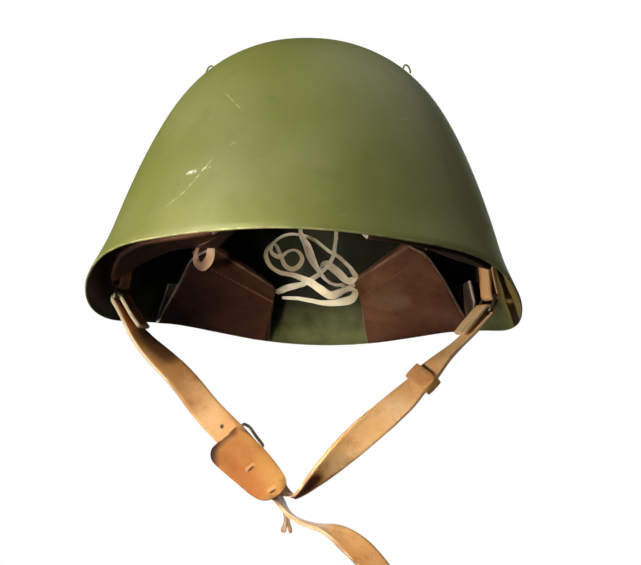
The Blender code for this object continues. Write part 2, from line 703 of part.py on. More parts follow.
def make_lace(mat, group):
    outward = [-0.07, 0.0, 0.1, 0.35, 0.65, 0.9, 1.0, 1.07]
    inward = outward[::-1]
    route = hem_channel("flap_rear_right", outward)
    route += LACE_BY_RIGHT_EAR
    route += hem_channel("flap_front_right", inward)
    route += LACE_FRONT_RIGHT_TO_REAR_LEFT
    route += hem_channel("flap_rear_left", outward)
    route += LACE_BY_LEFT_EAR
    route += hem_channel("flap_front_left", inward)
    route += LACE_FRONT_LEFT_TO_REAR_RIGHT
    wire("liner_lace", smoothed(route, LACE_STEP, cyclic=True), LACE_WIDTH, mat, group, cyclic=True, resolution=1)
    wire("lace_bow", smoothed(LACE_BOW, LACE_STEP), LACE_WIDTH, mat, group, resolution=1)


def main():
    for obj in list(bpy.data.objects):
        bpy.data.objects.remove(obj, do_unlink=True)
    group = bpy.data.collections.new("steel_combat_helmet")
    cutters = bpy.data.collections.new("cutters")
    bpy.context.scene.collection.children.link(group)
    bpy.context.scene.collection.children.link(cutters)
    paint = make_material("olive_paint", (0.20, 0.22, 0.07), 0.55, 0.0)
    brown = make_material("brown_leather", (0.10, 0.05, 0.03), 0.6, 0.0)
    tan = make_material("tan_leather", (0.70, 0.38, 0.14), 0.5, 0.0)
    steel = make_material("bare_steel", (0.45, 0.44, 0.42), 0.35, 1.0)
    cotton = make_material("white_cotton", (0.80, 0.76, 0.66), 0.85, 0.0)
    make_shell(paint, group)
    make_loops(paint, group)
    make_flaps(brown, group)
    make_lace(cotton, group)
    make_rings(steel, group)
    make_hangers(tan, group)
    short = make_strap_short(tan, group)
    long = make_strap_long(tan, group)
    add_slot(short, "pin_slot_short", (BUCKLE_LENGTH - 0.4, 0, 0.1), (8.8, PIN_SLOT, 7.8), cutters)
    add_slot(long, "pin_slot_long", (9.2, 0, -2.2), (8.0, PIN_SLOT, 8.0), cutters)
    make_buckle(steel, group)
    make_keeper(tan, group)
    make_guard(tan, group)
    make_nub(tan, group)


main()
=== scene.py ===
# Steel combat helmet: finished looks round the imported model.
import math

import bmesh
import bpy
from mathutils import Matrix, Vector, noise
from mathutils.bvhtree import BVHTree


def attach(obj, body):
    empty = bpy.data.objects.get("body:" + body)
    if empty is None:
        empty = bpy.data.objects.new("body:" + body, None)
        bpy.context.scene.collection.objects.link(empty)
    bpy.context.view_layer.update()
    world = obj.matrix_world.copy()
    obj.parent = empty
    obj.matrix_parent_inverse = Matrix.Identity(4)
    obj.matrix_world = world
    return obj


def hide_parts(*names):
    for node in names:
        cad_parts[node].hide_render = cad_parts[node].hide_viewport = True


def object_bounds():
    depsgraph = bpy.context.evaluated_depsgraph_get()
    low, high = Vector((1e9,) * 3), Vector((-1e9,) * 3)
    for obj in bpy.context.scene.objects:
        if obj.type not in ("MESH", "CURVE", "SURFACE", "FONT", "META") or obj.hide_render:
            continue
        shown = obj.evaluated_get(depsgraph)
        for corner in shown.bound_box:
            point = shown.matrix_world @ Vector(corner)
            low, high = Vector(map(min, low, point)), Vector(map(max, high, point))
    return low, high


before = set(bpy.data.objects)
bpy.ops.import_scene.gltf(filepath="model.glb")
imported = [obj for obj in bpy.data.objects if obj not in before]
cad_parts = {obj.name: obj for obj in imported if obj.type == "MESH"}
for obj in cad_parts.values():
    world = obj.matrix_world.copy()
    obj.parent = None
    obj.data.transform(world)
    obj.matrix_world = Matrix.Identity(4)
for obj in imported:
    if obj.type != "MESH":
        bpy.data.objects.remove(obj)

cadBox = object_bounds()
mm = 0.001
noise.seed_set(11)           # the same soft waves each run
scene = bpy.context.scene


def millimetres(*place):
    return Vector(place) * mm


def tint(red, green, blue):
    # a colour in steps of 0 to 255, made linear for the shader
    steps = [value / 255 for value in (red, green, blue)]
    linear = [v / 12.92 if v <= 0.04045 else ((v + 0.055) / 1.055) ** 2.4 for v in steps]
    return (*linear, 1)


def linked(name, data):
    # a new object in the scene
    obj = bpy.data.objects.new(name, data)
    scene.collection.objects.link(obj)
    return obj


def meshFrom(bm, name):
    mesh = bpy.data.meshes.new(name)
    bm.to_mesh(mesh)
    bm.free()
    return mesh


# Camera, lights and floor

camera = dict(
    rise=-11.0,              # degrees, it looks up from below
    turn=3.77,               # degrees to the right of the front
    roll=2.10,
    distance=0.9,            # metres
    aim=(0, 0, -28),         # mm
    lens=88.06,              # mm
    shift=(0.0244, -0.0008),
)


def makeCamera():
    rise, turn, roll = (math.radians(camera[key]) for key in ("rise", "turn", "roll"))
    back = Vector((math.sin(turn) * math.cos(rise), -math.cos(turn) * math.cos(rise), math.sin(rise)))
    right = Vector((math.cos(turn), math.sin(turn), 0))
    up = right.cross(-back)
    across = right * math.cos(roll) + up * math.sin(roll)
    above = up * math.cos(roll) - right * math.sin(roll)
    data = bpy.data.cameras.new("photoCamera")
    data.lens = camera["lens"]
    data.shift_x, data.shift_y = camera["shift"]
    data.clip_start = 0.01
    holder = linked("photoCamera", data)
    placed = Matrix((across, above, back)).transposed().to_4x4()
    placed.translation = millimetres(*camera["aim"]) + back * camera["distance"]
    holder.matrix_world = placed
    scene.camera = holder
    scene.view_settings.view_transform = "Standard"      # plain colours, so that the white behind stays white


lights = {
    # place and aim in mm, size in mm, power in watts, spread in degrees
    "keyLight": dict(
        place=(-780, -850, 590), aim=(-20, 0, 20), size=420,
        power=15.0, spread=180, colour=(1.0, 0.99, 0.96)),
    "lowLight": dict(
        place=(-1080, -620, -252), aim=(0, 0, -60), size=130,
        power=10.2, spread=180, colour=(1.0, 0.97, 0.92)),
    "laceBeam": dict(
        place=(-200, -900, -250), aim=(-6, 50, -18), size=60,
        power=0.034, spread=8.5, colour=(1.0, 0.94, 0.82)),
    "strapLight": dict(
        place=(-350, -900, -130), aim=(30, 0, -150), size=80,
        power=0.035, spread=10, colour=(1.0, 0.95, 0.86)),
    "farLight": dict(
        place=(950, -700, 300), aim=(0, 0, 20), size=500,
        power=1.3, spread=180, colour=(0.98, 1.0, 0.92)),
    "skyLight": dict(
        place=(420, 250, 1000), aim=(0, 0, 60), size=900,
        power=1.8, spread=180, colour=(0.93, 0.97, 1.0)),
    "rearLight": dict(
        place=(100, 1300, 300), aim=(0, 0, 30), size=800,
        power=4.0, spread=180, colour=(0.97, 0.99, 1.0)),
}


def makeLights():
    for name, light in lights.items():
        data = bpy.data.lights.new(name, "AREA")
        data.size = light["size"] * mm
        data.energy = light["power"]
        data.color = light["colour"]
        data.spread = math.radians(light["spread"])
        holder = linked(name, data)
        place = millimetres(*light["place"])
        holder.location = place
        holder.rotation_euler = (place - millimetres(*light["aim"])).to_track_quat("Z", "Y").to_euler()


surroundings = dict(
    plain=(1, 1, 1, 1),
    glow=0.034,              # the dim light from all round
    white=1.0,               # the white that the lens sees
    floorDrop=1200,          # mm below the lowest point
    floorSize=40.0,          # metres
    floorColour=(0.86, 0.86, 0.85, 1),
    floorRough=0.9,
    floorGlow=0.84,
)


def makeWorld():
    # the lens sees a plain white, and all else a dim glow
    world = bpy.data.worlds.new("studio")
    scene.world = world
    world.use_nodes = True
    nodes, links = world.node_tree.nodes, world.node_tree.links
    soft = nodes["Background"]
    seen = nodes.new("ShaderNodeBackground")
    for background, strength in ((soft, "glow"), (seen, "white")):
        background.inputs["Color"].default_value = surroundings["plain"]
        background.inputs["Strength"].default_value = surroundings[strength]
    path = nodes.new("ShaderNodeLightPath")
    both = nodes.new("ShaderNodeMixShader")
    links.new(path.outputs["Is Camera Ray"], both.inputs["Fac"])
    links.new(soft.outputs["Background"], both.inputs[1])
    links.new(seen.outputs["Background"], both.inputs[2])
    links.new(both.outputs["Shader"], nodes["World Output"].inputs["Surface"])


def makeFloor():
    bm = bmesh.new()
    bmesh.ops.create_grid(bm, x_segments=1, y_segments=1, size=surroundings["floorSize"] / 2)
    bmesh.ops.translate(bm, vec=(0, 0, cadBox[0].z - surroundings["floorDrop"] * mm), verts=bm.verts)
    mesh = meshFrom(bm, "floor")
    pale = bpy.data.materials.new("paleFloor")
    pale.use_nodes = True
    surface = pale.node_tree.nodes["Principled BSDF"]
    surface.inputs["Base Color"].default_value = surroundings["floorColour"]
    surface.inputs["Emission Color"].default_value = surroundings["floorColour"]
    surface.inputs["Emission Strength"].default_value = surroundings["floorGlow"]
    surface.inputs["Roughness"].default_value = surroundings["floorRough"]
    mesh.materials.append(pale)
    floor = linked("floor", mesh)
    floor.visible_diffuse = False      # the floor stays pale without lighting the hollow from below
    floor.visible_glossy = False


# Shader maths

class Wire:
    # an output of a shader node, so that maths on it reads as an expression
    def __init__(self, paint, socket):
        self.paint = paint
        self.socket = socket

    def __add__(self, other):
        return self.paint.maths("ADD", self, other)

    def __radd__(self, other):
        return self.paint.maths("ADD", other, self)

    def __sub__(self, other):
        return self.paint.maths("SUBTRACT", self, other)

    def __rsub__(self, other):
        return self.paint.maths("SUBTRACT", other, self)

    def __mul__(self, other):
        return self.paint.maths("MULTIPLY", self, other)

    def fade(self, low, high):
        # 0 at low and 1 at high, smooth between them
        limits = {"From Min": low, "From Max": high}
        return self.paint.node("MapRange", {"interpolation_type": "SMOOTHSTEP"}, {"Value": self, **limits})


class Paint:
    # a material, with short ways to add nodes to it
    def __init__(self, name):
        self.material = bpy.data.materials.new(name)
        self.material.use_nodes = True
        self.tree = self.material.node_tree
        self.surface = self.tree.nodes["Principled BSDF"]
        self.place = self.node("TexCoord", out="Object")

    def feed(self, made, sockets):
        # links a wire to its socket and sets a plain value on it
        for name, value in sockets.items():
            if isinstance(value, Wire):
                self.tree.links.new(value.socket, made.inputs[name])
            else:
                made.inputs[name].default_value = value

    def node(self, kind, settings=None, sockets=None, out=0):
        made = self.tree.nodes.new("ShaderNode" + kind)
        for name, value in (settings or {}).items():
            setattr(made, name, value)
        self.feed(made, sockets or {})
        return Wire(self, made.outputs[out])

    def maths(self, operation, first, second=0.0):
        return self.node("Math", {"operation": operation}, {0: first, 1: second})

    def vector(self, operation, first, second, out=0):
        return self.node("VectorMath", {"operation": operation}, {0: first, 1: second}, out)

    def axis(self, place, number):
        return self.node("SeparateXYZ", None, {0: place}, number)

    def mix(self, factor, first, second):
        return self.node("Mix", {"data_type": "RGBA"}, {0: factor, 6: first, 7: second}, 2)

    def noise(self, size, detail, roughness=0.5):
        # size is the width in mm of the pattern's blots
        sockets = {"Vector": self.place, "Scale": 1 / (size * mm), "Detail": detail, "Roughness": roughness}
        return self.node("TexNoise", None, sockets)

    def cells(self, size, feature="F1"):
        # size is the width in mm of a cell
        sockets = {"Vector": self.place, "Scale": 1 / (size * mm)}
        return self.node("TexVoronoi", {"feature": feature}, sockets)

    def nearLine(self, start, end):
        # distance in metres from the straight line between two places given in mm
        start, end = millimetres(*start), millimetres(*end)
        run = end - start
        offset = self.vector("SUBTRACT", self.place, tuple(start))
        share = self.vector("DOT_PRODUCT", offset, tuple(run), 1) * (1 / run.length_squared)
        share = self.maths("MINIMUM", self.maths("MAXIMUM", share, 0.0), 1.0)
        nearest = self.node("VectorMath", {"operation": "SCALE"}, {0: tuple(run), "Scale": share})
        return self.vector("DISTANCE", offset, nearest, 1)

    def mark(self, start, end, reach, ragged):
        # 1 along the line and 0 past its reach in mm, with an uneven edge where it is ragged
        near = self.nearLine(start, end)
        if ragged:
            near = near + (self.noise(reach * 1.5, 3, 0.6) - 0.5) * (ragged * reach * mm)
        return 1 - near.fade(reach * mm * 0.35, reach * mm)

    def patches(self, colour, spots, blot):
        # colours laid round places: place and reach in mm, the share of the reach that is full,
        # how ragged, how strong, and the colour
        for place, reach, full, ragged, strength, shade in spots:
            away = self.vector("DISTANCE", self.place, tuple(millimetres(*place)), 1)
            away = away + (blot - 0.5) * (ragged * reach * mm)
            colour = self.mix((1 - away.fade(full * reach * mm, reach * mm)) * strength, colour, shade)
        return colour

    def bump(self, height, depth, strength, under=None):
        sockets = {"Height": height, "Distance": depth * mm, "Strength": strength}
        if under:
            sockets["Normal"] = under
        return self.node("Bump", None, sockets)

    def finish(self, colour, roughness, normal, metallic=0.0, gloss=0.5):
        sockets = {"Base Color": colour, "Roughness": roughness, "Metallic": metallic}
        self.feed(self.surface, {**sockets, "Specular IOR Level": gloss, "Normal": normal})
        return self.material


# Olive paint on the steel shell

olive = dict(
    fresh=tint(114, 117, 48),
    faded=tint(127, 129, 71),
    deep=tint(96, 100, 39),
    inside=tint(98, 102, 62),
    insideDeep=tint(64, 64, 38),
    # painted shade: the crown inside is darkened to near black above the lace
    insideCrownShade=tint(20, 20, 11),    # the crown inside is near black above the lace
    crownFrom=-42,           # mm, no crown colour below this height
    crownTo=-14,             # and all of it above this one
    # painted light and shade inside the lobes, as in Paint.patches
    lobeLightAndShade=[
        ((-118, -12, -34), 46, 0.4, 0.8, 0.85, tint(84, 44, 32)),    # painted shade, darker and redder inside the left lobe
        ((122, -4, -40), 40, 0.4, 0.6, 0.75, tint(156, 128, 68)),    # painted light, lighter and warmer inside the right lobe
    ],
    primer=tint(214, 212, 186),
    bare=tint(176, 172, 116),
    speck=tint(66, 62, 30),
    # start, end and half width in mm, then how strongly it shows
    scratches=[
        ((-55.5, -104.7, 7.3), (-51.5, -106.8, 8.1), 1.7, 1.0),
        ((-47.5, -108.5, 8.6), (-44.0, -110.2, 9.2), 1.1, 0.8),
        ((-55.3, -109.4, -2.9), (-40.0, -108.8, 18.0), 0.7, 0.55),
        ((-65.6, -106.4, -11.3), (-56.0, -109.4, -3.4), 0.6, 0.5),
        ((-38.0, -109.0, 19.5), (-31.4, -108.9, 23.1), 0.6, 0.5),
        ((-40.4, -87.2, 56.3), (-30.8, -98.4, 44.6), 0.45, 0.4),
        ((52.7, -87.8, 42.8), (58.5, -80.6, 47.0), 0.5, 0.35),
        ((24.7, -129.0, -19.0), (33.0, -127.0, -17.5), 0.5, 0.3),
        ((95.0, 52.0, 10.0), (99.0, 40.0, -2.0), 0.8, 0.5),
        ((-38.0, 112.0, 18.0), (-20.0, 117.0, 14.0), 0.7, 0.5),
    ],
)


def olivePaint():
    paint = Paint("olivePaint")
    cloud = paint.noise(70, 4, 0.55)
    blot = paint.noise(16, 5, 0.6)
    grain = paint.noise(0.8, 2, 0.5)
    colour = paint.mix(cloud.fade(0.35, 0.7), olive["fresh"], olive["faded"])
    colour = paint.mix(blot.fade(0.5, 0.85) * 0.5, colour, olive["deep"])
    specks = (1 - paint.cells(5.5).fade(0.04, 0.10)) * paint.noise(24, 2).fade(0.55, 0.65)
    colour = paint.mix(specks * 0.7, colour, olive["speck"])
    rubbed = paint.noise(1.6, 4, 0.7).fade(0.42, 0.58)
    uneven = paint.noise(3.0, 3, 0.7) - 0.5
    worn = 0.0
    for start, end, width, strength in olive["scratches"]:
        near = paint.nearLine(start, end) + uneven * (width * mm)
        worn = (1 - near.fade(width * mm * 0.3, width * mm)) * rubbed * strength + worn
    colour = paint.mix(worn, colour, olive["primer"])
    rough = 0.49 + (blot - 0.5) * 0.12 + grain * 0.06 + worn * 0.3
    skin = paint.bump(grain, 0.03, 0.5)
    skin = paint.bump(worn, -0.15, 0.7, skin)
    return paint.finish(colour, rough, skin, gloss=0.6)


def insidePaint():
    # the paint inside the shell is duller and darker, with painted shade at the crown and painted light and
    # shade in the lobes
    paint = Paint("insidePaint")
    blot = paint.noise(26, 5, 0.6)
    grain = paint.noise(1.2, 3, 0.55)
    colour = paint.mix(blot.fade(0.38, 0.7), olive["inside"], olive["insideDeep"])
    height = paint.axis(paint.place, 2) + (blot - 0.5) * (14 * mm)
    # painted shade, darker towards the crown
    crown = height.fade(olive["crownFrom"] * mm, olive["crownTo"] * mm) * 0.9
    colour = paint.mix(crown, colour, olive["insideCrownShade"])
    colour = paint.patches(colour, olive["lobeLightAndShade"], blot)
    rough = 0.6 + (grain - 0.5) * 0.1
    return paint.finish(colour, rough, paint.bump(grain, 0.05, 0.5), gloss=0.12)


def rimPaint():
    # the rim's cut edge, where the paint is rubbed thin
    paint = Paint("rimPaint")
    rubbed = paint.noise(9, 5, 0.65).fade(0.34, 0.58)
    colour = paint.mix(rubbed, olive["faded"], olive["bare"])
    rough = 0.5 - rubbed * 0.12
    return paint.finish(colour, rough, paint.bump(paint.noise(1.2, 3), 0.08, 0.6))


# Leather

# pore and poreDepth, crease and fibre in mm; marks: start, end and reach in mm, how ragged,
# how strong, and the colour
# painted shade: a near-black dot in a strap hole
holeShade = tint(46, 30, 16)
# painted highlights on the strap's return round the right ring and on the right hanger tab
tabReturnHighlight = ((88, 2, -52), (101, -3, -44), 12, 0.5, 0.8, tint(250, 214, 160))
tabSideHighlight = ((103, -3, -38), (101, -3, -20), 12, 0.5, 0.7, tint(242, 188, 124))
frontRightShade = ((66, -80, -18), (98, -76, -31), 26, 0.3, 0.85, tint(32, 26, 17))
# painted shade at the rear-right flap's outer end
rearRightEndShade = ((96, 52, -32), (96, 52, -18), 16, 0.5, 0.8, tint(44, 36, 24))
leathers = {
    "strapGrain": dict(
        base=tint(222, 158, 92), light=tint(238, 186, 126), dark=tint(186, 118, 58),
        stain=tint(140, 84, 40), stained=0.35, rough=0.44, gloss=0.35,
        pore=0.75, poreDepth=0.05, crease=0.16, fibre=0.0,
        marks=[
            ((-43.6, -3.5, -112.5), (-43.6, -3.5, -112.9), 1.5, 0, 0.95, holeShade),
            # painted shade on the long strap's upper part by the left ring
            ((-89, 3, -61), (-79, 2, -70), 11, 0.5, 0.8, tint(66, 34, 16)),
            tabSideHighlight,
        ]),
    # painted light: the short strap's grain is a paler copy of the strap grain
    "shortStrapLitGrain": dict(
        base=tint(242, 186, 118), light=tint(250, 214, 160), dark=tint(218, 152, 86),
        stain=tint(168, 108, 58), stained=0.14, rough=0.38, gloss=0.35,
        pore=0.75, poreDepth=0.05, crease=0.16, fibre=0.0,
        marks=[
            ((90.6, -7.5, -56.3), (90.6, -7.5, -56.7), 1.5, 0, 0.95, holeShade),
            # painted shade where the short strap twists by the neck
            ((3, 0, -149), (9, 0, -142), 9.5, 0.6, 0.95, tint(104, 34, 8)),
            tabReturnHighlight,
        ]),
    "strapFlesh": dict(
        base=tint(178, 124, 76), light=tint(208, 158, 108), dark=tint(132, 84, 46),
        stain=tint(96, 58, 30), stained=0.4, rough=0.72, gloss=0.35,
        pore=0.6, poreDepth=0.03, crease=0.12, fibre=0.10,
        marks=[tabReturnHighlight, tabSideHighlight]),
    "strapEdge": dict(
        base=tint(214, 170, 126), light=tint(230, 194, 152), dark=tint(176, 128, 86),
        stain=tint(136, 92, 56), stained=0.35, rough=0.8, gloss=0.35,
        pore=0.5, poreDepth=0.02, crease=0.06, fibre=0.14,
        marks=[
            ((-107, -5, -42), (-78, -5, -82), 10, 0.3, 0.92, tint(255, 234, 192)),
            # painted highlight on the strap edges at the right ring
            ((92, -8, -56), (106, -6, -38), 11, 0.4, 0.8, tint(250, 214, 162)),
        ]),
    "guardGrain": dict(
        base=tint(186, 124, 60), light=tint(198, 142, 74), dark=tint(160, 94, 38),
        stain=tint(122, 70, 30), stained=0.25, rough=0.56, gloss=0.2,
        pore=0.8, poreDepth=0.05, crease=0.14, fibre=0.0,
        marks=[
            ((-42, -7, -134), (-24, -8, -148), 10, 0.9, 0.55, tint(168, 92, 30)),
            ((-38, -7, -122), (-28, -8, -132), 7, 0.9, 0.35, tint(176, 106, 42)),
            ((-20, -8, -130), (-7, -9, -143), 7, 0.8, 0.5, tint(196, 140, 66)),
            # painted shade along the guard's upper-left edge and its left end, where it curls away
            ((-48, -6, -124), (-38, -6, -115), 5.0, 0.5, 0.85, tint(92, 46, 16)),
            ((-51, -5, -123), (-51, -5, -134), 8.5, 0.3, 0.97, tint(44, 14, 5)),
            # painted highlights on the lips of the two slits, and painted shadow in them
            ((-28.2, -7, -136.6), (-24.8, -7, -133.6), 1.4, 0.4, 0.4, tint(236, 192, 136)),
            ((-26.9, -7, -137.2), (-24.9, -7, -135.2), 0.9, 0.2, 0.9, tint(112, 76, 38)),
            ((-15.3, -9, -148.2), (-12.4, -9, -145.8), 1.4, 0.4, 0.4, tint(234, 190, 128)),
            ((-14.2, -9, -149.2), (-11.6, -9, -147.7), 0.9, 0.2, 0.9, tint(106, 74, 36)),
        ]),
    "thongGrain": dict(
        base=tint(186, 150, 122), light=tint(206, 178, 158), dark=tint(150, 112, 86),
        stain=tint(112, 84, 70), stained=0.4, rough=0.7, gloss=0.35,
        pore=0.7, poreDepth=0.04, crease=0.1, fibre=0.06),
    # painted light: the rear-right flap's grain is a lighter copy of the liner grain, with real scuffs
    "rearRightLitGrain": dict(
        base=tint(100, 61, 42), light=tint(122, 81, 60), dark=tint(78, 46, 32),
        stain=tint(54, 32, 23), stained=0.3, rough=0.56, gloss=0.18,
        pore=0.9, poreDepth=0.05, crease=0.14, fibre=0.0,
        marks=[
            ((46, 86, -24), (52, 80, -30), 14, 1.2, 0.5, tint(136, 108, 88)),
            ((62, 70, -30), (66, 62, -34), 10, 1.2, 0.4, tint(124, 74, 52)),
            rearRightEndShade,
        ]),
    "linerGrain": dict(
        base=tint(70, 42, 29), light=tint(86, 53, 38), dark=tint(54, 32, 22),
        stain=tint(40, 24, 17), stained=0.3, rough=0.56, gloss=0.18,
        pore=0.9, poreDepth=0.05, crease=0.14, fibre=0.0,
        marks=[
            frontRightShade,
            # painted shade on the front-left flap
            ((-60, -86, -20), (-100, -70, -32), 22, 0.4, 0.65, tint(44, 33, 26)),
        ]),
    "linerFlesh": dict(
        base=tint(92, 62, 47), light=tint(118, 82, 64), dark=tint(68, 44, 33),
        stain=tint(46, 30, 24), stained=0.4, rough=0.75, gloss=0.35,
        pore=0.6, poreDepth=0.03, crease=0.14, fibre=0.1,
        marks=[
            frontRightShade,
            # painted shade on the front-left flap
            ((-56, -84, -20), (-104, -66, -34), 26, 0.4, 0.75, tint(50, 40, 32)),
            rearRightEndShade,
        ]),
    "linerEdge": dict(
        base=tint(206, 186, 168), light=tint(222, 206, 190), dark=tint(150, 122, 104),
        stain=tint(92, 66, 54), stained=0.3, rough=0.8, gloss=0.35,
        pore=0.5, poreDepth=0.02, crease=0.06, fibre=0.14),
}


def leatherMaterial(name, look):
    paint = Paint(name)
    broad = paint.noise(34, 4, 0.6)
    patch = paint.noise(9, 5, 0.65)
    fine = paint.noise(1.1, 3, 0.6)
    pores = paint.cells(look["pore"])
    wrinkle = paint.cells(6.5, "DISTANCE_TO_EDGE").fade(0.0, 0.10)
    colour = paint.mix(broad.fade(0.35, 0.70), look["base"], look["light"])
    colour = paint.mix(patch.fade(0.48, 0.80) * 0.75, colour, look["dark"])
    colour = paint.mix(paint.noise(15, 6, 0.72).fade(0.60, 0.74) * look["stained"], colour, look["stain"])
    colour = paint.mix((1 - pores.fade(0.08, 0.45)) * 0.25, colour, look["dark"])
    colour = paint.mix((1 - wrinkle) * patch.fade(0.45, 0.7) * 0.22, colour, look["stain"])
    for start, end, reach, ragged, strength, shade in look.get("marks", ()):
        colour = paint.mix(paint.mark(start, end, reach, ragged) * strength, colour, shade)
    rough = look["rough"] + (patch - 0.5) * 0.16 + fine * 0.06
    skin = paint.bump(pores, look["poreDepth"], 0.5)
    skin = paint.bump(wrinkle * patch, look["crease"], 0.35, skin)
    skin = paint.bump(fine, 0.05 + look["fibre"], 0.5, skin)
    return paint.finish(colour, rough, skin, gloss=look["gloss"])


# Cotton lace, thread and steel wire

cotton = dict(
    clean=tint(248, 236, 212),
    soiled=tint(204, 182, 140),
    gap=tint(150, 128, 96),
    pitch=1.1,               # mm from plait to plait
    slant=0.9,               # how steeply the plaits cross
    # as in Paint.patches
    patches=[
        ((-18, 28, -6), 27, 0.5, 0, 0.8, tint(112, 90, 60)),     # painted shade, darker and browner under the crown
        ((-58, 0, -12), 30, 0.5, 0, 0.8, tint(244, 188, 146)),   # peach tint by the left ear
    ],
)


def cottonMaterial():
    # a flat braid: the lace's own map runs along it in U, and across it in V, in mm
    paint = Paint("cottonBraid")
    sides = paint.node("UVMap", {"uv_map": "UVMap"})
    along, across = paint.axis(sides, 0), paint.axis(sides, 1)
    turns = 2 * math.pi / cotton["pitch"]
    first = paint.maths("SINE", (along + across * cotton["slant"]) * turns)
    second = paint.maths("SINE", (along - across * cotton["slant"]) * turns)
    braid = paint.maths("MAXIMUM", first, second)
    soil = paint.noise(12, 4, 0.6)
    colour = paint.mix(soil.fade(0.45, 0.75) * 0.8, cotton["clean"], cotton["soiled"])
    colour = paint.mix((1 - braid.fade(-0.3, 0.5)) * 0.5, colour, cotton["gap"])
    colour = paint.patches(colour, cotton["patches"], soil)
    skin = paint.bump(braid, 0.16, 0.8)
    skin = paint.bump(paint.noise(0.35, 2), 0.05, 0.6, skin)
    return paint.finish(colour, 0.88, skin)


threadShades = (tint(134, 108, 88), tint(98, 74, 58))


def threadMaterial():
    # the twist of the thread is about half a millimetre wide
    paint = Paint("waxedThread")
    twist = paint.noise(0.5, 2, 0.5)
    colour = paint.mix(twist.fade(0.35, 0.7), *threadShades)
    return paint.finish(colour, 0.8, paint.bump(twist, 0.06, 0.7))


steel = dict(clean=tint(160, 150, 128), dull=tint(104, 94, 74), rust=tint(88, 64, 40))


def steelMaterial():
    paint = Paint("dullSteel")
    film = paint.noise(4, 4, 0.6)
    rusty = paint.noise(2.2, 5, 0.7).fade(0.60, 0.72)
    colour = paint.mix(film.fade(0.35, 0.7), steel["clean"], steel["dull"])
    colour = paint.mix(rusty * 0.7, colour, steel["rust"])
    rough = 0.3 + film * 0.2 + rusty * 0.25
    metal = 1 - rusty * 0.6
    return paint.finish(colour, rough, paint.bump(paint.noise(0.6, 3), 0.04, 0.5), metallic=metal)


# Meshes

solid = dict(merge=0.01, pairBend=35, pairSkew=50)       # mm and degrees


def mergedCopy(node):
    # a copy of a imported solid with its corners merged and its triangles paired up
    bm = bmesh.new()
    bm.from_mesh(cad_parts[node].data)
    bmesh.ops.remove_doubles(bm, verts=bm.verts, dist=solid["merge"] * mm)
    flat, square = math.radians(solid["pairBend"]), math.radians(solid["pairSkew"])
    bmesh.ops.join_triangles(bm, faces=bm.faces, angle_face_threshold=flat, angle_shape_threshold=square)
    return bm


def findSkins(bm, bend):
    # groups of faces that meet without a bend sharper than this, the largest first
    groups = []
    for face in bm.faces:
        face.tag = False
    for face in bm.faces:
        if face.tag:
            continue
        face.tag = True
        group, waiting = [], [face]
        while waiting:
            here = waiting.pop()
            group.append(here)
            for edge in here.edges:
                if len(edge.link_faces) != 2 or edge.calc_face_angle(0) > bend:
                    continue
                for other in edge.link_faces:
                    if not other.tag:
                        other.tag = True
                        waiting.append(other)
        groups.append(group)
    groups.sort(key=lambda group: -sum(face.calc_area() for face in group))
    return groups


def creaseBends(bm, bend, amount):
    layer = bm.edges.layers.float.get("crease_edge") or bm.edges.layers.float.new("crease_edge")
    for edge in bm.edges:
        if len(edge.link_faces) == 2 and edge.calc_face_angle(0) > bend:
            edge[layer] = amount


def bakedMesh(obj):
    # a new mesh of the object as its modifiers leave it
    bpy.context.view_layer.update()
    return bpy.data.meshes.new_from_object(obj.evaluated_get(bpy.context.evaluated_depsgraph_get()))


def smoothed(bm, name, levels=2):
    obj = linked(name, meshFrom(bm, name))
    rounder = obj.modifiers.new("rounder", "SUBSURF")
    rounder.levels = rounder.render_levels = levels
    mesh = bakedMesh(obj)
    bpy.data.objects.remove(obj)
    return mesh


def waver(mesh, size, height):
    # bends a sheet softly in all directions, both its sides together
    for vertex in mesh.vertices:
        vertex.co += noise.noise_vector(vertex.co / (size * mm)) * height * mm


def addPiece(name, mesh, slotName, materials, *nodes):
    for material in materials:
        mesh.materials.append(material)
    mesh.shade_smooth()
    piece = linked(name, mesh)
    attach(piece, "root")
    if nodes:
        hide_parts(*nodes)
    return piece


def dressSheet(node, name, slotName, materials, look):
    # materials: the skin that faces look["facing"], the other skin, and the cut edges
    bm = mergedCopy(node)
    bend = math.radians(look["bend"])
    skins = findSkins(bm, bend)
    facing = Vector(look["facing"])
    turned = [sum(face.normal.dot(facing) * face.calc_area() for face in skin) for skin in skins[:2]]
    front = 0 if turned[0] > turned[1] else 1
    for number, skin in enumerate(skins):
        index = 2 if number > 1 else (0 if number == front else 1)
        for face in skin:
            face.material_index = index
    creaseBends(bm, bend, look["crease"])
    mesh = smoothed(bm, name)
    for size, height in look["waver"]:
        waver(mesh, size, height)
    return addPiece(name, mesh, slotName, materials, node)


def dressWire(node, name, slotName, material):
    return addPiece(name, smoothed(mergedCopy(node), name), slotName, [material], node)


# Hems, drawstring and stitching

# each hem's top edge and stitch line in mm, from the front or rear middle outwards
hems = {
    "flap_rear_right": dict(
        side=1, top=((25.4, 80, -10.5), (58, 22, -1.5)), seam=((29.4, 89, -19), (70.2, 28, -3.3))),
    "flap_rear_left": dict(
        side=-1, top=((23.7, 80, -16.4), (57, 22, -5)), seam=((25.4, 89.5, -24.2), (69.6, 28, -9))),
    "flap_front_left": dict(
        side=-1, top=((26, -78, -9), (47, -24, -14.5)), seam=((29.3, -89.2, -14.6), (60, -30, -15.0))),
    "flap_front_right": dict(
        side=1, top=((26, -78, -7), (50, -24, -9)), seam=((29.3, -89.2, -12.6), (63, -30, -9.5))),
}
lace = dict(
    hemWidth=2.3,            # mm
    mouthWidth=3.4,          # mm, where it comes out of a hem
    mouth=0.02,              # share of the hem's length past which the lace is out of it
    hemRadius=3.5,           # mm
    thick=0.9,               # mm
    step=2.2,                # mm
    across=4,                # faces side by side
    facing=(0.05, -0.85, -0.5),
)

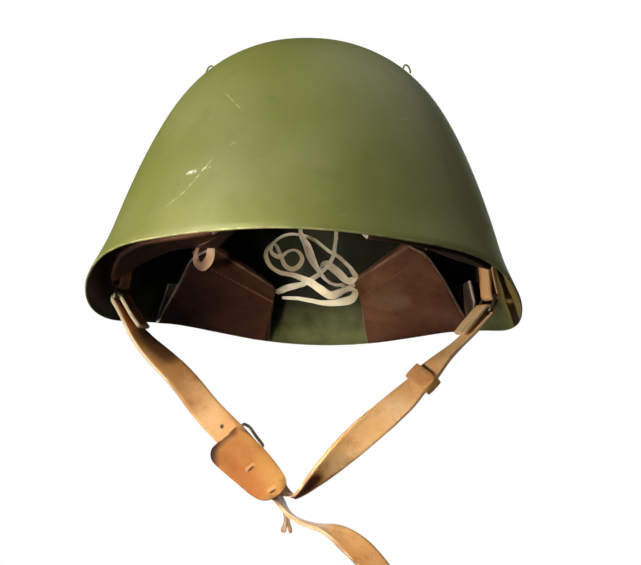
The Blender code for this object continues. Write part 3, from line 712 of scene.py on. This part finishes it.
# the drawstring's route outside the hems: place and width in mm
byRightEar = [(61.5, 5, -0.5, 4.0), (57.5, -9, -4, 4.0)]
frontRightToRearLeft = [
    (22.5, -90.5, -4.5, 3.6), (17.5, -87.5, -2, 4.0), (15, -80, 0, 4.0), (15, -62, 2, 3.4),
    (17, -42, 1, 2.6), (18, -20, -3, 2.2), (16.5, 2, -5.5, 2.2), (15, 18, -8, 2.4),
    (10.5, 36, -11, 2.6), (5, 48, -13.5, 2.8), (-1, 58, -15.5, 3.2), (-6, 66, -16.5, 3.8),
    (-13, 72, -17, 4.4), (-18, 80, -17.0, 4.6),
]
byLeftEar = [
    (-65.5, 14.5, -7.5, 2.4), (-64.5, 8, -15.5, 4.0), (-59.5, -1, -20.5, 5.6), (-54.2, -11, -18, 5.4),
]
frontLeftToRearRight = [
    (-22, -90.5, -6, 3.6), (-17, -87.5, -3, 4.4), (-13, -79, -0.5, 4.8), (-9, -60, 2, 4.4),
    (-5, -36, 2, 3.2), (-3, -14, 0.5, 2.2), (-2.5, -2, -1.5, 3.0), (0, 12, -4.5, 4.6),
    (2, 24, -9, 4.8), (4.5, 34, -12.5, 3.2), (8.5, 45, -16, 2.2), (13.5, 60, -17, 2.0),
    (18, 70, -15.5, 2.6), (20.5, 79, -15, 3.0),
]
# the bow and its slack ends under the crown
bow = [
    (-19, 74, -24, 1.8), (-8.5, 70, -25, 2.4), (-1, 68, -26.5, 2.8), (6.5, 66, -28, 3.2),
    (13.5, 66, -28, 4.4), (20, 68, -26.5, 5.4), (25.5, 70, -24, 5.6), (27, 68.5, -20.5, 4.6),
    (23.5, 64, -20, 5.4), (18, 58, -23, 5.8), (12.5, 54, -25.5, 5.4), (6, 50, -22.5, 5.2),
    (0.5, 46, -19.5, 4.6), (-9, 40, -16.5, 3.2), (-18.5, 35, -15.5, 2.8), (-24.5, 33, -11, 2.8),
    (-26, 31, -4, 2.8), (-21.5, 30, 0.5, 2.6), (-17.5, 31, -5, 2.6), (-15, 34, -11, 2.6),
    (-10.5, 31, -14.5, 3.0), (-5.5, 27, -13, 3.4), (-3.5, 24, -9, 3.4), (-6.5, 22, -5, 2.8),
    (-11.5, 23, -5, 2.6), (-17, 24, -8.5, 2.8), (-22, 21, -6.5, 2.4), (-21, 16, -2.5, 2.0),
    (-16.5, 12, 0.5, 1.8), (-11.5, 11, 2.5, 1.8), (-5, 12, 2.5, 1.8), (3, 20, 1.5, 2.0),
    (11, 30, -2.5, 2.0), (15.5, 38, -3.5, 2.2), (20, 52, -4.5, 2.4), (24, 65, -6.5, 2.8),
    (26.5, 72, -10, 3.6), (23.5, 68.5, -13.5, 4.8), (15.5, 58, -9.5, 5.0), (8.5, 48, -6.5, 4.6),
    (6, 41.4, -9.9, 4.0),
]


def hemLine(hem, key, share):
    near, far = (Vector(end) for end in hem[key])
    spot = near.lerp(far, share)
    return Vector((spot.x * hem["side"], spot.y, spot.z))


def hemChannel(node, shares):
    # places inside the hem's fold, where the lace runs
    hem = hems[node]
    rows = []
    for share in shares:
        top, seam = hemLine(hem, "top", share), hemLine(hem, "seam", share)
        along = (top - seam).normalized()
        behind = along.cross(hemLine(hem, "top", 1) - hemLine(hem, "top", 0)).normalized()
        behind *= math.copysign(1, behind.z)
        spot = top + (behind - along) * lace["hemRadius"]
        inHem = -lace["mouth"] < share < 1 + lace["mouth"]
        rows.append((*spot, lace["hemWidth"] if inHem else lace["mouthWidth"]))
    return rows


band = dict(
    leastSpan=0.01,          # mm between two rows
    leastSide=0.2,           # a line that runs closer to its facing keeps the side of the row before
    ease=0.35,               # share of its own side that a row takes up
    waverSize=6,             # mm
    waverHeight=0.25,        # mm
)


def smoothLine(rows, step):
    # a smooth line through rows of any spacing, as rows about a step apart
    rows = [Vector(row) for row in rows]
    spans = [max((b.xyz - a.xyz).length, band["leastSpan"]) for a, b in zip(rows, rows[1:])]
    rates = [(b - a) / span for a, b, span in zip(rows, rows[1:], spans)]
    slopes = [rates[0]]
    for i in range(len(rates) - 1):
        share = spans[i] / (spans[i] + spans[i + 1])
        slopes.append(rates[i] * (1 - share) + rates[i + 1] * share)
    slopes.append(rates[-1])
    line = []
    for i, span in enumerate(spans):
        pieces = max(1, round(span / step))
        for k in range(pieces):
            f = k / pieces
            low = 2 * f ** 3 - 3 * f ** 2 + 1
            bend = (f ** 3 - 2 * f ** 2 + f) * span * slopes[i] + (f ** 3 - f ** 2) * span * slopes[i + 1]
            line.append(rows[i] * low + rows[i + 1] * (1 - low) + bend)
    line.append(rows[-1])
    return line


def ribbonSides(line, facing):
    # the sideways direction and the length of the run so far at each row of a line
    sides, run = [], [0.0]
    for i, here in enumerate(line):
        ahead = (line[min(i + 1, len(line) - 1)] - line[max(i - 1, 0)]).xyz.normalized()
        side = ahead.cross(facing)
        if sides and side.dot(sides[-1]) < 0:
            side.negate()
        side = side.normalized() if side.length > band["leastSide"] else sides[-1]
        if sides:
            side = (side * band["ease"] + sides[-1] * (1 - band["ease"])).normalized()
            run.append(run[-1] + (here - line[i - 1]).xyz.length)
        sides.append(side)
    return sides, run


def ribbonMesh(name, rows, look):
    # a flat band along rows of place and width, its map in mm along U and across V
    line = smoothLine(rows, look["step"])
    steps = len(line) - 1
    sides, run = ribbonSides(line, Vector(look["facing"]))

    def rowOf(vertex):
        return round((vertex.co.y + 1) / 2 * steps)

    bm = bmesh.new()
    bmesh.ops.create_grid(bm, x_segments=look["across"], y_segments=steps, size=1)
    lengthwise = bm.loops.layers.uv.new("UVMap")
    for face in bm.faces:
        for loop in face.loops:
            row = rowOf(loop.vert)
            loop[lengthwise].uv = (run[row], loop.vert.co.x * line[row].w / 2)
    for vertex in bm.verts:
        row = rowOf(vertex)
        here = line[row]
        vertex.co = (here.xyz + sides[row] * (vertex.co.x * here.w / 2)) * mm
    bmesh.ops.recalc_face_normals(bm, faces=bm.faces)
    bmesh.ops.solidify(bm, geom=bm.faces, thickness=look["thick"] * mm)
    mesh = smoothed(bm, name, levels=1)
    waver(mesh, band["waverSize"], band["waverHeight"])
    return mesh


def ribbon(name, rows, material, node):
    return addPiece(name, ribbonMesh(name, rows, lace), "cotton_lace", [material], node)


thong = dict(
    step=1.0,
    across=4,
    thick=1.5,
    facing=(0, -1, 0.1),
    # place and width in mm from behind the neck of the straps down to each frayed end
    tails=[
        [(-9.6, 14.8, -152, 3.8), (-6.8, 14.6, -160, 3.2), (-6.6, 14.3, -164, 2.6),
         (-7.4, 14, -167, 2.8), (-8.0, 13.7, -169.2, 3.4), (-8.1, 13.6, -170.2, 1.8)],
        [(-9.0, 13.2, -152.5, 3.4), (-6.2, 13.0, -160, 2.8), (-5.2, 13.0, -164.5, 2.2),
         (-4.3, 12.8, -167.2, 2.6), (-3.9, 12.8, -169.2, 2.4), (-4.0, 12.8, -170.2, 1.5)],
    ],
)


def thongPiece(material):
    # two tails of thin leather, laid on each other at the top
    bm = bmesh.new()
    for tail in thong["tails"]:
        mesh = ribbonMesh("tail", tail, thong)
        bm.from_mesh(mesh)
        bpy.data.meshes.remove(mesh)
    return addPiece("guardThong", meshFrom(bm, "guardThong"), "strap_leather", [material], "guard_thong")


stitch = dict(
    long=3.0,                # mm, as are the next three
    thick=0.8,
    pitch=3.9,
    sunk=0.1,
    ends=(0.03, 0.97),       # shares of the seam's length
    tilt=0.35,               # how far the flap leans from level
    reach=30,                # mm from which the flap's skin is looked for
    around=8,                # faces
    along=6,
)


def stitchRow(name, node, flap, material):
    # a row of small stitches on the flap along its seam line, on the side that faces the head
    hem = hems[node]
    start, end = (hemLine(hem, "seam", share) * mm for share in stitch["ends"])
    ahead = (end - start).normalized()
    count = int((end - start).length / (stitch["pitch"] * mm))
    inward = Vector((0, -math.copysign(stitch["tilt"], start.y), -1)).normalized()
    skin = BVHTree.FromObject(flap, bpy.context.evaluated_depsgraph_get())
    half = Vector((stitch["long"], stitch["thick"], stitch["thick"])) * mm / 2
    bm = bmesh.new()
    for i in range(count + 1):
        outside = start.lerp(end, i / count) + inward * stitch["reach"] * mm
        spot, normal, _, _ = skin.ray_cast(outside, -inward)
        if spot is None:
            continue
        run = (ahead - normal * ahead.dot(normal)).normalized()
        turned = Matrix((run, normal.cross(run), normal)).transposed().to_4x4()
        turned.translation = spot - normal * stitch["sunk"] * mm
        shape = turned @ Matrix.Diagonal((*half, 1))
        bmesh.ops.create_uvsphere(
            bm, u_segments=stitch["around"], v_segments=stitch["along"], radius=1, matrix=shape)
    return addPiece(name, meshFrom(bm, name), "liner_leather", [material])


def punch(piece, cuts):
    # holes and slits cut through a finished piece: place, facing and size in mm
    for cut in cuts:
        bm = bmesh.new()
        if "radius" in cut:
            ends = dict(cap_ends=True, radius1=cut["radius"] * mm, radius2=cut["radius"] * mm)
            bmesh.ops.create_cone(bm, segments=16, depth=cut["deep"] * mm, **ends)
        else:
            bmesh.ops.create_cube(bm, size=1)
            bmesh.ops.scale(bm, vec=Vector((cut["long"], cut["wide"], cut["deep"])) * mm, verts=bm.verts)
            bmesh.ops.rotate(bm, matrix=Matrix.Rotation(math.radians(cut["turn"]), 3, "Z"), verts=bm.verts)
        bmesh.ops.rotate(bm, matrix=Vector(cut["facing"]).to_track_quat("Z", "Y").to_matrix(), verts=bm.verts)
        bmesh.ops.translate(bm, vec=millimetres(*cut["place"]), verts=bm.verts)
        cutter = linked("cutter", meshFrom(bm, "cutter"))
        piece.modifiers.new("cut", "BOOLEAN").object = cutter
        piece.data = bakedMesh(piece)
        piece.modifiers.clear()
        bpy.data.objects.remove(cutter)


# Build

print("camera and lights")
makeCamera()
makeLights()
makeWorld()
makeFloor()

print("materials")
# the liner's folds and seams are rubbed pale, with a painted highlight along them: reach in mm, how ragged,
# how strong, and the colour
paleFoldsAndHighlight = {
    "top": (1.5, 0.5, 0.6, tint(168, 140, 118)),
    "seam": (0.8, 0.5, 0.4, tint(150, 124, 104)),
}
for node, hem in hems.items():
    look = leathers["rearRightLitGrain" if node == "flap_rear_right" else "linerGrain"]
    look["marks"] += [(hemLine(hem, key, 0), hemLine(hem, key, 1), *paleLine) for key, paleLine in paleFoldsAndHighlight.items()]
oliveSkin = olivePaint()
oliveInside = insidePaint()
oliveRim = rimPaint()
hides = {name: leatherMaterial(name, look) for name, look in leathers.items()}
braid = cottonMaterial()
thread = threadMaterial()
wireSteel = steelMaterial()

print("shell")
# bend in degrees; waver: width and height of the waves in mm
shellLook = dict(facing=(0, 0, 1), bend=60, crease=0.9, waver=[(70, 0.12)])
dressSheet("shell", "paintedShell", "olive_paint", [oliveSkin, oliveInside, oliveRim], shellLook)
for side in ("left", "right"):
    dressWire("loop_" + side, side + "WireLoop", "olive_paint", oliveSkin)

print("liner")
flapLook = dict(facing=(0, 0, -1), bend=50, crease=0.6, waver=[(30, 0.7), (9, 0.25)])
for end in ("front", "rear"):
    for side in ("left", "right"):
        name = "linerFlap" + end.capitalize() + side.capitalize()
        node = f"flap_{end}_{side}"
        grain = hides["rearRightLitGrain" if node == "flap_rear_right" else "linerGrain"]
        flapSkins = [grain, hides["linerFlesh"], hides["linerEdge"]]
        flap = dressSheet(node, name, "liner_leather", flapSkins, flapLook)
        stitchRow(name + "Stitches", node, flap, thread)
# shares of a hem's length, a little past both ends
throughHem = (-0.07, 0.0, 0.1, 0.35, 0.65, 0.9, 1.0, 1.07)
route = hemChannel("flap_rear_right", throughHem[3:]) + byRightEar
route += hemChannel("flap_front_right", throughHem[::-1]) + frontRightToRearLeft
route += hemChannel("flap_rear_left", throughHem) + byLeftEar
route += hemChannel("flap_front_left", throughHem[::-1]) + frontLeftToRearRight
route += hemChannel("flap_rear_right", throughHem[:5])
ribbon("linerLace", route, braid, "liner_lace")
ribbon("laceBow", bow, braid, "lace_bow")

print("chin strap")
strapSkins = [hides["strapGrain"], hides["strapFlesh"], hides["strapEdge"]]
strapLook = dict(facing=(0, -1, 0), bend=50, crease=0.75, waver=[(22, 0.35), (7, 0.12)])
longStrap = dressSheet("strap_long", "longStrap", "strap_leather", strapSkins, strapLook)
punch(longStrap, [dict(place=(-43.6, -4.6, -112.7), facing=(0, -1, 0), radius=1.0, deep=2.6)])
shortSkins = [hides["shortStrapLitGrain"], hides["strapFlesh"], hides["strapEdge"]]
dressSheet("strap_short", "shortStrap", "strap_leather", shortSkins, strapLook)
for side in ("left", "right"):
    dressSheet("hanger_" + side, side + "HangerTab", "strap_leather", strapSkins, strapLook)
    dressWire("ring_" + side, side + "StrapRing", "bare_steel", wireSteel)
keeperLook = dict(facing=(0, -1, 0), bend=60, crease=0.7, waver=[(9, 0.15)])
dressSheet("strap_keeper", "strapKeeper", "strap_leather", strapSkins, keeperLook)
guardSkins = [hides["guardGrain"], hides["strapFlesh"], hides["strapEdge"]]
guard = dressSheet("buckle_guard", "buckleGuard", "strap_leather", guardSkins, strapLook)
punch(guard, [
    dict(place=(-25.9, -6.9, -136.2), facing=(0, -1, 0), long=3.0, wide=0.8, deep=8, turn=45),
    dict(place=(-12.9, -9.0, -148.5), facing=(0, -1, 0), long=2.8, wide=0.8, deep=8, turn=30),
])
thongPiece(hides["thongGrain"])
dressWire("buckle_frame", "buckleFrame", "bare_steel", wireSteel)
dressWire("buckle_pin", "bucklePin", "bare_steel", wireSteel)
